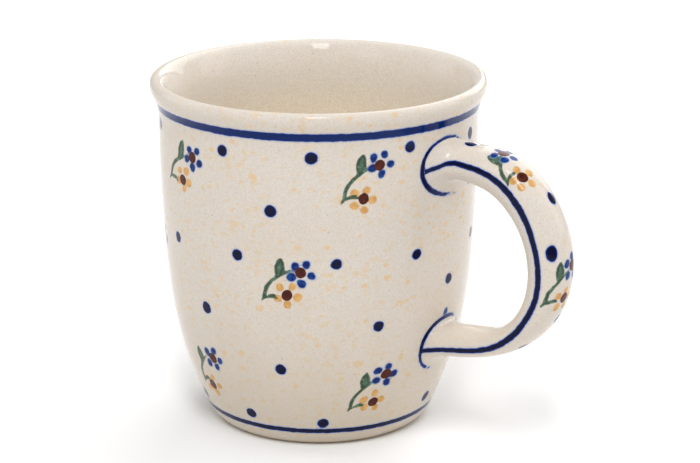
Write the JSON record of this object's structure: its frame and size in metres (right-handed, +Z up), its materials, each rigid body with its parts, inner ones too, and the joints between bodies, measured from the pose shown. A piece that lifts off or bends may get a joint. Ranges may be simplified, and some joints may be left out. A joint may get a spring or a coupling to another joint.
{
  "type": "mug",
  "caption": "Round drinking mug with a flared rolled lip, tapering wall, foot ring and a strap handle stuck to the wall at its top and lower ends.",
  "frame": {"origin": "on the table under the mug, at the centre of the whole object's footprint box; the mug's own axis stands 15.3 mm from it towards -X", "axes": "+Z up, out of the mug's mouth; +X from the mug's axis towards its handle; +Y across the handle"},
  "size_m": [0.1164, 0.0858, 0.09],
  "materials": {
    "cream_glaze": "gloss",
    "glazed_slip": "gloss"
  },
  "bodies": {
    "root": {"mug_body": "cream_glaze", "handle": "cream_glaze", "upper_slip_joint": "glazed_slip", "lower_slip_joint": "glazed_slip"}
  },
  "joints": []
}
